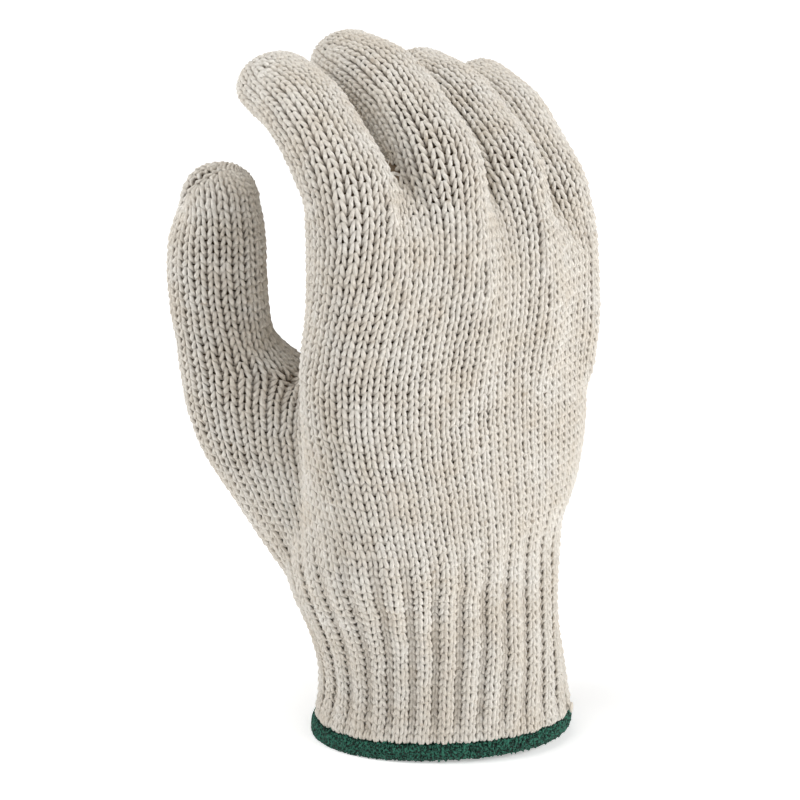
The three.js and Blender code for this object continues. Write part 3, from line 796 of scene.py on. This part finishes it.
def strand_piece(name, strands, closed):
    """A joined mesh of round strands, each given by its points and its radius at each point.

    On closed strands every point of the mesh holds its place along the yarn and round it.
    """
    data = bpy.data.curves.new(name, "CURVE")
    data.dimensions = "3D"
    data.bevel_depth = 1.0
    data.bevel_resolution = 1
    data.use_fill_caps = True
    lengths = []
    for path, radius in strands:
        spline = data.splines.new("POLY")
        spline.points.add(len(path) - 1)
        co = np.concatenate([path * MM, np.ones((len(path), 1))], axis=1)
        spline.points.foreach_set("co", co.ravel())
        spline.points.foreach_set("radius", np.broadcast_to(radius, len(path)) * MM)
        spline.use_cyclic_u = closed
        spline.use_smooth = True
        step = np.linalg.norm(np.roll(path, -1, axis=0) - path, axis=1)
        lengths.append(np.concatenate([[0], np.cumsum(step)[:-1]]))
    curve = bpy.data.objects.new(name, data)
    bpy.context.collection.objects.link(curve)
    bpy.context.view_layer.update()
    mesh = bpy.data.meshes.new_from_object(
        curve.evaluated_get(bpy.context.evaluated_depsgraph_get()))
    bpy.data.objects.remove(curve)
    bpy.data.curves.remove(data)
    attribute = mesh.attributes.new("yarn", "FLOAT_VECTOR", "POINT")
    if closed:
        lengths = np.concatenate(lengths)
        sides = len(mesh.vertices) // len(lengths)
        turn = np.tile(np.arange(sides) / sides * 2 * math.pi, len(lengths))
        yarn = np.stack([np.repeat(lengths, sides), np.cos(turn), np.sin(turn)], -1)
        attribute.data.foreach_set("vector", yarn.astype(np.float32).ravel())
    mesh.shade_smooth()
    return mesh_piece(name, mesh)


def mesh_piece(name, mesh):
    """An object of a mesh, in the scene."""
    piece = bpy.data.objects.new(name, mesh)
    mesh.name = name
    bpy.context.collection.objects.link(piece)
    return piece


def mark_sunk_shade(piece, deepest_shade):
    """Writes on each point how much painted shade it gets for lying deep in the fabric, from 0 at
    the front to the deepest.
    """
    mesh = piece.data
    spots = np.empty(len(mesh.vertices) * 3, np.float32)
    mesh.vertices.foreach_get("co", spots)
    height = _knitted["surface"].at(spots.reshape(-1, 3) / MM)[0]
    sunk_shade = (np.clip((1.2 - height) / 1.5, 0, 1) * deepest_shade).astype(np.float32)
    mesh.attributes.new("sunk_shade", "FLOAT", "POINT").data.foreach_set("value", sunk_shade)


# Materials

class Value:
    """One number of a shader, written in sums like a number."""

    def __init__(self, graph, socket):
        self.graph, self.socket = graph, socket

    def maths(self, operation, *others):
        return self.graph.node("ShaderNodeMath", {"operation": operation},
                               [self, *others])["Value"]

    def __add__(self, other):
        return self.maths("ADD", other)

    __radd__ = __add__

    def __mul__(self, other):
        return self.maths("MULTIPLY", other)

    __rmul__ = __mul__

    def __sub__(self, other):
        return self.maths("SUBTRACT", other)

    def __rsub__(self, other):
        return (self * -1) + other

    def __truediv__(self, other):
        return self.maths("DIVIDE", other)

    def __pow__(self, other):
        return self.maths("POWER", other)

    def clamped(self):
        return self.maths("MAXIMUM", 0.0).maths("MINIMUM", 1.0)


class Graph:
    """A material's nodes."""

    def __init__(self, name):
        self.material = bpy.data.materials.new(name)
        self.material.use_nodes = True
        self.nodes = self.material.node_tree.nodes
        self.links = self.material.node_tree.links
        self.nodes.clear()

    def node(self, kind, settings=None, inputs=None):
        """A node with its settings and its inputs; gives its outputs by name."""
        node = self.nodes.new(kind)
        for key, value in (settings or {}).items():
            setattr(node, key, value)
        pairs = enumerate(inputs) if isinstance(inputs, (list, tuple)) else (inputs or {}).items()
        for key, value in pairs:
            socket = node.inputs[key]
            if isinstance(value, Value):
                self.links.new(value.socket, socket)
            elif isinstance(value, (tuple, list)) and socket.type == "RGBA":
                socket.default_value = (*value, 1.0)[:4]
            else:
                socket.default_value = value
        return {output.name: Value(self, output) for output in node.outputs if output.enabled}

    def mix(self, factor, a, b):
        """Colour between two others."""
        return self.node("ShaderNodeMix", {"data_type": "RGBA"}, {0: factor, 6: a, 7: b})["Result"]

    def noise(self, vector, scale, detail, roughness):
        return self.node("ShaderNodeTexNoise", {}, {
            "Vector": vector, "Scale": scale, "Detail": detail, "Roughness": roughness})["Fac"]

    def place(self):
        return self.node("ShaderNodeTexCoord")["Object"]

    def attribute(self, name):
        return self.node("ShaderNodeAttribute", {"attribute_name": name})

    def finish(self, bsdf):
        shader = self.node("ShaderNodeBsdfPrincipled", {}, bsdf)["BSDF"]
        self.node("ShaderNodeOutputMaterial", {}, {"Surface": shader})
        return self.material


def shaded(colour, share):
    """A colour made darker or lighter."""
    return [c * share for c in colour]


def spun_yarn(name, light, warm, deep, speck, patch_scale, contrast, sheen):
    """Soft spun yarn: plies and fibres along it with painted shade between the plies, patches,
    which on the hem's thread are painted highlights and painted shade, small flecks, and painted
    shade where the yarn lies deep.
    """
    graph = Graph(name)
    place = graph.place()
    yarn = graph.attribute("yarn")["Vector"]
    parts = graph.node("ShaderNodeSeparateXYZ", {}, [yarn])
    along = parts["X"] * 3.6
    ply = along.maths("SINE") * parts["Y"] + along.maths("COSINE") * parts["Z"]
    drawn = graph.node("ShaderNodeVectorMath", {"operation": "MULTIPLY"},
                       [yarn, (0.9, 2.6, 2.6)])["Vector"]
    streaks = graph.noise(drawn, 1.0, 3.0, 0.65)
    fibres = graph.noise(place, 2600.0, 3.0, 0.6)
    patches = graph.noise(place, patch_scale, 3.0, 0.6)
    flecks = graph.noise(place, 420.0, 1.0, 0.4)
    sunk_shade = graph.attribute("sunk_shade")["Fac"]
    colour = graph.mix(((patches - 0.5) * contrast + 0.5).clamped(), light, warm)
    # Painted shade in the grooves between the plies, then darker streaks of fibre along the yarn
    for mask, tint in (((1 - (ply * 0.5 + 0.5) ** 0.8) * 0.24, shaded(warm, 0.6)),
                       (((streaks - 0.46) * 3.4).clamped() * 0.44, shaded(warm, 0.55)),
                       # Painted shade where the yarn lies deep in the fabric, in the shade colour
                       # of the gaps
                       ((sunk_shade ** 1.6 * 0.86).clamped(), deep),
                       (((flecks - 0.70) * 9.0).clamped() * speck, (0.36, 0.27, 0.18)),
                       (((0.31 - flecks) * 8.0).clamped() * speck, (0.92, 0.90, 0.86))):
        colour = graph.mix(mask, colour, tint)
    normal = graph.node("ShaderNodeBump", {}, {
        "Strength": 0.85, "Distance": 0.00035,
        "Height": ply * 0.35 + fibres * 0.8 + streaks * 0.8})["Normal"]
    return graph.finish({
        "Base Color": colour, "Roughness": 0.92, "Normal": normal,
        "Specular IOR Level": 0.18, "Sheen Weight": sheen, "Sheen Roughness": 0.6})


def plain_cloth(name, colour, darker, scale, bump):
    """Closely knitted ground, dull and rough."""
    graph = Graph(name)
    place = graph.place()
    patches = graph.noise(place, scale, 3.0, 0.6)
    tint = graph.mix((patches * 2 - 0.5).clamped(), colour, darker)
    normal = graph.node("ShaderNodeBump", {}, {
        "Strength": bump, "Distance": 0.0004,
        "Height": graph.noise(place, scale * 6, 2.0, 0.5)})["Normal"]
    return graph.finish({"Base Color": tint, "Roughness": 0.95, "Normal": normal,
                         "Specular IOR Level": 0.1})


def backdrop(name, colour):
    """Pale floor that fades into a white surround."""
    graph = Graph(name)
    away = graph.node("ShaderNodeVectorMath", {"operation": "LENGTH"}, [graph.place()])["Value"]
    fade = ((away - 0.15) / 0.7).clamped()
    return graph.finish({
        "Base Color": colour, "Roughness": 0.9, "Emission Strength": 0.75,
        "Emission Color": graph.mix(fade, (0.5, 0.5, 0.5), (1, 1, 1))})


_materials = {}


def material(name):
    """A material, made when it is first asked for."""
    if name not in _materials:
        colours = bpy.context.scene.knit_colours
        cotton, warm, gap, thread = (tuple(colour) for colour in (
            colours.cotton, colours.cotton_warm, colours.gap, colours.thread))
        maker, *values = {
            "cotton_yarn": (spun_yarn, cotton, warm, gap, 0.5, 90.0, 3.2, 0.25),
            # Ground behind the yarn: painted shade between the stitches, paler in the cuff's
            # grooves
            "cotton_ground": (plain_cloth, gap, shaded(gap, 0.6), 300.0, 0.5),
            "rib_ground": (plain_cloth, shaded(gap, 2.8), shaded(gap, 2.0), 300.0, 0.8),
            "cotton_inside": (plain_cloth, shaded(cotton, 0.85), warm, 400.0, 1.0),
            # The hem's thread: its patches mix a painted highlight, 2.4 times the thread's colour,
            # and a painted shade, a tenth of it
            "overlock_thread": (spun_yarn, shaded(thread, 2.4), shaded(thread, 0.10), thread,
                                0.0, 1600.0, 6.5, 0.1),
            "overlock_shade": (plain_cloth, shaded(thread, 0.30), shaded(thread, 0.15),
                               500.0, 0.6),
            "backdrop": (backdrop, tuple(colours.backdrop)),
        }[name]
        _materials[name] = maker(name, *values)
    return _materials[name]


# The pieces

def place_piece(piece, materials, nodes=()):
    """Colours a piece and says what it belongs to."""
    for name in materials:
        piece.data.materials.append(material(name))
    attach(piece, "root")
    if nodes:
        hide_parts(*nodes)


def knit_groups(net, relief, first_seed, groups):
    """Knits and places pieces, each given by its name, courses, depth of shade and CAD nodes."""
    for seed, (name, courses, deepest_shade, nodes) in enumerate(groups, first_seed):
        yarn = yarn_piece(name, net, courses, relief, seed, deepest_shade)
        place_piece(yarn, ["cotton_yarn"], nodes)


def cuff_relief(net):
    """How far each stitch of the cuff stands off the surface, rib by rib."""
    groove = bpy.context.scene.knit_sizes.rib_relief / MM
    last = net.cuff_courses + 6

    def relief(number, nodes):
        if number > last or len(nodes) != net.all_wales:
            return np.zeros(len(nodes))
        fade = min(max((last - number) / (0.45 * net.cuff_courses), 0), 1, (number + 1) / 4)
        wale = np.arange(len(nodes)) % RIB_WALES
        return np.where(wale == 0, -groove * 0.75, 0.25 * groove) * fade
    return relief


def ground_piece(name, net, courses, depth, web_sides):
    """The closed ground behind the yarn: a skin through the stitches, made thick by Solidify. Its
    outside takes the first material, a painted shade, and its inside and rim the second.
    """
    shell = bmesh.new()
    verts = {}

    def vert(node):
        if node not in verts:
            verts[node] = shell.verts.new((net.p[node] - net.out[node] * depth) * MM)
        return verts[node]

    for _, nodes in courses:
        for node in nodes:
            right = net.right[node]
            a, b = net.above[node], net.above[right]
            if a < 0 or b < 0 or b not in (a, net.right[a], net.left[a]):
                continue
            corners = list(dict.fromkeys([vert(node), vert(right), vert(b), vert(a)]))
            if len(corners) > 2 and not shell.faces.get(corners):
                shell.faces.new(corners)
    rims = [edge for edge in shell.edges if edge.is_boundary]
    if web_sides:
        bmesh.ops.holes_fill(shell, edges=rims, sides=web_sides)
    bmesh.ops.triangulate(shell, faces=[face for face in shell.faces if len(face.verts) > 4])
    bmesh.ops.recalc_face_normals(shell, faces=shell.faces)
    mesh = bpy.data.meshes.new(name)
    shell.to_mesh(mesh)
    shell.free()
    mesh.shade_smooth()
    piece = mesh_piece(name, mesh)
    solid = piece.modifiers.new("thickness", "SOLIDIFY")
    solid.thickness = GROUND_WALL * MM
    solid.offset = -1
    solid.material_offset = 1
    solid.material_offset_rim = 1
    return piece


def numbered(net, regions):
    """The courses of some regions, each with its number."""
    return [(number, nodes) for number, (region, nodes) in enumerate(net.courses)
            if region in regions]


class GLOVE_OT_stalls(bpy.types.Operator):
    """Knits the four finger stalls and the thumb stall"""

    bl_idname = "glove.stalls"
    bl_label = "Knit the stalls"

    def execute(self, context):
        net = knitted()
        knit_groups(net, lambda number, nodes: np.zeros(len(nodes)), 10, [
            (f"{name}_yarn", numbered(net, [name]), 1.0, [f"{name}_stall"])
            for name in ("index", "middle", "ring", "little", "thumb")])
        return {"FINISHED"}


class GLOVE_OT_hand(bpy.types.Operator):
    """Knits the palm and back, from the cuff to the fingers' roots"""

    bl_idname = "glove.hand"
    bl_label = "Knit the hand"

    def execute(self, context):
        net = knitted()
        heel = numbered(net, ["heel"])
        half = len(heel) // 2
        knit_groups(net, cuff_relief(net), 20, [
            ("heel_yarn", heel[:half], 0.65, ["palm_heel"]),
            ("thumb_base_yarn", heel[half:], 0.85, ["palm_middle"]),
            ("palm_yarn", numbered(net, ["palm"]), 0.85,
             ["knuckle_band", "index_middle_roots", "ring_little_roots"])])
        courses = numbered(net, ["heel", "palm", "thumb", *WALES])
        # The ground's outside is painted shade between the stitches
        ground = ground_piece("hand_ground", net, courses, HAND_GROUND, WEB_SIDES)
        place_piece(ground, ["cotton_ground", "cotton_inside"])
        return {"FINISHED"}


class GLOVE_OT_cuff(bpy.types.Operator):
    """Knits the ribbed cuff"""

    bl_idname = "glove.cuff"
    bl_label = "Knit the cuff"

    def execute(self, context):
        net = knitted()
        courses = numbered(net, ["cuff"])
        half = len(courses) // 2
        knit_groups(net, cuff_relief(net), 30, [
            ("cuff_lower_yarn", courses[:half], 0.42, ["rib_cuff"]),
            ("cuff_upper_yarn", courses[half:], 0.5, [])])
        # The cuff's ground is a paler painted shade in the grooves between the ribs
        ground = ground_piece("cuff_ground", net, courses, CUFF_GROUND, 0)
        place_piece(ground, ["rib_ground", "cotton_inside"])
        return {"FINISHED"}


def hem_point(share, turn, spread=1.0, height=0.0):
    """A point of the hem at a share of its length round the cuff and a turn round its edge."""
    low, high, low_in, high_in = (
        ring_by_length(trunk_point(z, AROUND, inset), share)
        for inset in (0.0, 1.0) for z in (0.0, HEM_HEIGHT))
    up = (0.5 + 0.46 * spread * np.sin(turn))[:, None] + (height / HEM_HEIGHT)
    inset = (KNIT_WALL / 2 - (HEM_THICKNESS / 2 - 0.75) * spread * np.cos(turn))[:, None]
    edge = low + (high - low) * up
    return edge + (low_in + (high_in - low_in) * up - edge) * inset


class GLOVE_OT_hem(bpy.types.Operator):
    """Overlocks the hem with green thread"""

    bl_idname = "glove.hem"
    bl_label = "Overlock the hem"

    def execute(self, context):
        rng = np.random.default_rng(40)
        threads = self.coils(rng) + self.chains(rng)
        place_piece(strand_piece("hem_thread", threads, True),
                    ["overlock_thread"], ["overlock_hem"])
        around = np.arange(240) / 240
        cores = [(hem_point(around, np.zeros(len(around)), 0.0, height), 1.25)
                 for height in (-1.35, 0.0, 1.35)]
        place_piece(strand_piece("hem_core", cores, True), ["overlock_shade"])
        ends = self.cut_ends(rng) + [self.knot()]
        place_piece(strand_piece("cut_ends", ends, False), ["cotton_yarn"])
        return {"FINISHED"}

    def coils(self, rng):
        """The threads wound round the edge."""
        threads = []
        for wraps, way, lean, radius in HEM_COILS:
            share = np.arange(wraps * 10) / (wraps * 10)
            turn = share * wraps * 2 * math.pi
            stray = rng.normal(0, 0.34, len(share))
            stray = (stray + np.roll(stray, 1)) / 2
            place = share + (lean * np.cos(turn) * 0.5 + stray) / wraps
            bulge = 1 + 0.20 * np.clip(rng.normal(0, 1, len(share)), -2, 1.4)
            path = hem_point(place, way * turn + 0.7 * way, bulge)
            threads.append((path, radius * (1 + 0.15 * rng.normal(0, 1, len(path)))))
        return threads

    def chains(self, rng):
        """The chains of loops over the coils, on the lower edge and on the outside."""
        threads = []
        for middle, reach in ((-0.5, 1.15), (0.05, 0.6)):
            share = np.arange(CHAIN_LOOPS * 12) / (CHAIN_LOOPS * 12)
            turn = share * CHAIN_LOOPS * 2 * math.pi
            place = share + 0.46 * np.sin(2 * turn) / CHAIN_LOOPS
            spread = 1.12 + rng.normal(0, 0.06, len(share))
            path = hem_point(place, middle * math.pi + reach * np.sin(turn), spread)
            threads.append((path, 0.27))
        return threads

    def cut_ends(self, rng):
        """Short ends of the cuff's yarn over the hem's upper edge."""
        ends = []
        t = np.linspace(0, 1, 5)
        for k in range(CUT_ENDS):
            start = (k + rng.uniform(-0.4, 0.4)) / CUT_ENDS
            reach, lean = rng.uniform(-0.6, 1.1), rng.normal(0, 1.0)
            turn = 0.66 * math.pi - (0.20 + 0.11 * reach) * math.pi * t
            path = hem_point(start + lean * t / LEAN_STEPS, turn, 1.30, 0.8)
            ends.append((path, rng.uniform(0.34, 0.56) * (1 - 0.4 * t * t)))
        return ends

    def knot(self):
        """The small knot of beige yarn above the hem, on the little finger's side."""
        spots = ring_by_length(trunk_point(HEM_HEIGHT + 1.6, AROUND, -1.2), KNOT_PLACE)
        along = (spots[1] - spots[0]) / np.linalg.norm(spots[1] - spots[0])
        coil = np.linspace(0, 3.6 * math.pi, 24)[:, None]
        return (spots[0] + along * np.cos(coil) * (1.1 - 0.03 * coil)
                + np.array([0, 0, 1.0]) * np.sin(coil) * (0.9 + 0.04 * coil), 0.42)


class GLOVE_OT_stage(bpy.types.Operator):
    """Sets the floor, the soft studio light and the camera"""

    bl_idname = "glove.stage"
    bl_label = "Set the stage"

    def execute(self, context):
        bpy.ops.mesh.primitive_plane_add(size=FLOOR_SIZE, location=(0, 0, FLOOR_Z))
        floor = context.object
        floor.name = "floor"
        floor.data.materials.append(material("backdrop"))
        world = context.scene.world or bpy.data.worlds.new("world")
        context.scene.world = world
        world.use_nodes = True
        sky = world.node_tree.nodes["Background"].inputs
        sky[0].default_value, sky[1].default_value = (1, 1, 1, 1), WORLD_STRENGTH
        right = Vector((math.cos(CAMERA_AZIMUTH), math.sin(CAMERA_AZIMUTH), 0))
        up = Vector((0, 0, 1))
        front = (right.cross(up) * math.cos(CAMERA_ELEVATION)
                 + up * math.sin(CAMERA_ELEVATION))
        for name, size, watts, to_right, to_front, to_top in LIGHTS:
            data = bpy.data.lights.new(name, "AREA")
            data.shape, data.size, data.energy = "DISK", size, watts
            offset = right * to_right + front * to_front + up * to_top
            self.aim(context, name, data, offset)
        data = bpy.data.cameras.new("camera")
        data.sensor_width = SENSOR_WIDTH
        data.lens = SENSOR_WIDTH / 2 / math.tan(HALF_VIEW)
        data.clip_end = 50
        context.scene.camera = self.aim(context, "camera", data, front * CAMERA_DISTANCE)
        context.scene.view_settings.view_transform = "Standard"
        return {"FINISHED"}

    def aim(self, context, name, data, offset):
        """A lamp or camera at an offset from the glove's middle, turned towards it."""
        thing = bpy.data.objects.new(name, data)
        context.collection.objects.link(thing)
        thing.location = VIEW_TARGET + offset
        thing.rotation_euler = (-offset).to_track_quat("-Z", "Y").to_euler()
        return thing


class GLOVE_PT_panel(bpy.types.Panel):
    """Sizes, colours and steps of the glove"""

    bl_idname = "GLOVE_PT_panel"
    bl_label = "Knitted glove"
    bl_space_type = "VIEW_3D"
    bl_region_type = "UI"
    bl_category = "Glove"

    def draw(self, context):
        layout = self.layout
        for group in (context.scene.knit_sizes, context.scene.knit_colours):
            box = layout.box()
            for name in type(group).__annotations__:
                box.prop(group, name)
        for operator in OPERATORS:
            layout.operator(operator.bl_idname)


OPERATORS = (GLOVE_OT_stalls, GLOVE_OT_hand, GLOVE_OT_cuff, GLOVE_OT_hem, GLOVE_OT_stage)
CLASSES = (KnitSizes, KnitColours, *OPERATORS, GLOVE_PT_panel)


def register():
    for cls in CLASSES:
        bpy.utils.register_class(cls)
    bpy.types.Scene.knit_sizes = PointerProperty(type=KnitSizes)
    bpy.types.Scene.knit_colours = PointerProperty(type=KnitColours)


def unregister():
    del bpy.types.Scene.knit_colours
    del bpy.types.Scene.knit_sizes
    for cls in reversed(CLASSES):
        bpy.utils.unregister_class(cls)


def main():
    register()
    bpy.ops.glove.stalls()
    bpy.ops.glove.hand()
    bpy.ops.glove.cuff()
    bpy.ops.glove.hem()
    bpy.ops.glove.stage()


if __name__ == "__main__":
    main()
